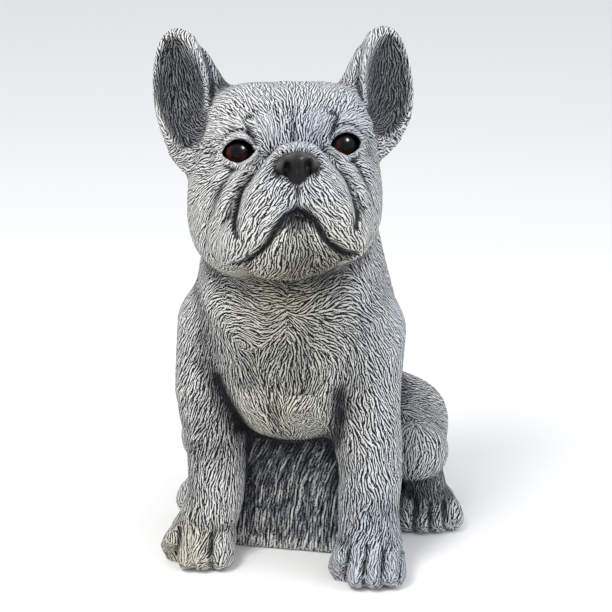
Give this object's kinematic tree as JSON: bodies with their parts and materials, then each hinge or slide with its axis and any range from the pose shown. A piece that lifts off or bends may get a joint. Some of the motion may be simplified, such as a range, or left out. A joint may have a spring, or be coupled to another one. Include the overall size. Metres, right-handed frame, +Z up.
{
  "type": "cast stone dog figurine",
  "caption": "Seated French bulldog cast in stone, head raised and turned, ears upright, forelegs joined by a block of bark; glossy set-in eyes.",
  "frame": {"origin": "centre of the plan at the ground plane that the figure stands on", "axes": "+Z up, the dog faces -Y, +X to the dog's left"},
  "size_m": [0.2226, 0.276, 0.38],
  "materials": {
    "cast_stone": "cast stone with carved fur, pale dry-brushed ridges over dark grey grooves",
    "glossy_eye": "glossy dark brown eye with a black rim and pupil"
  },
  "bodies": {
    "root": {"dog": "cast_stone", "eye_left": "glossy_eye", "eye_right": "glossy_eye"}
  },
  "joints": []
}
